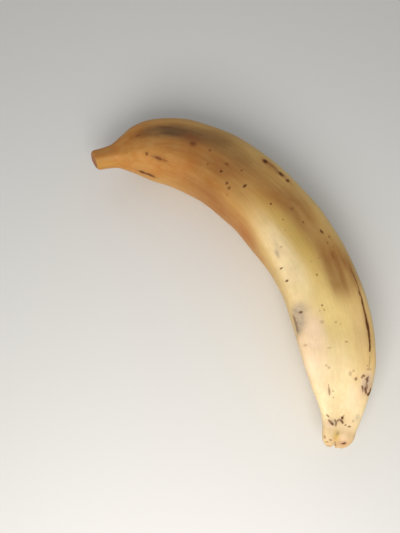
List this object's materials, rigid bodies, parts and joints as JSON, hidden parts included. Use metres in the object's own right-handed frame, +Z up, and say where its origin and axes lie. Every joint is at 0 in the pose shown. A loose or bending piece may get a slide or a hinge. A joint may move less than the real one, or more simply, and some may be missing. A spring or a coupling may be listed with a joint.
{
  "type": "plantain",
  "caption": "Curved, softly five-sided fruit lying on its side, with a short cut stalk at one end and a blunt, lobed blossom end at the other.",
  "frame": {"origin": "on the surface that the fruit lies on, under the middle of its bounding box", "axes": "+X along the chord from the cut stalk to the blossom end, +Y towards the convex side of the bend, +Z up"},
  "size_m": [0.2272, 0.0864, 0.0441],
  "materials": {
    "plantain_skin": null
  },
  "bodies": {
    "root": {"plantain": "plantain_skin"}
  },
  "joints": []
}
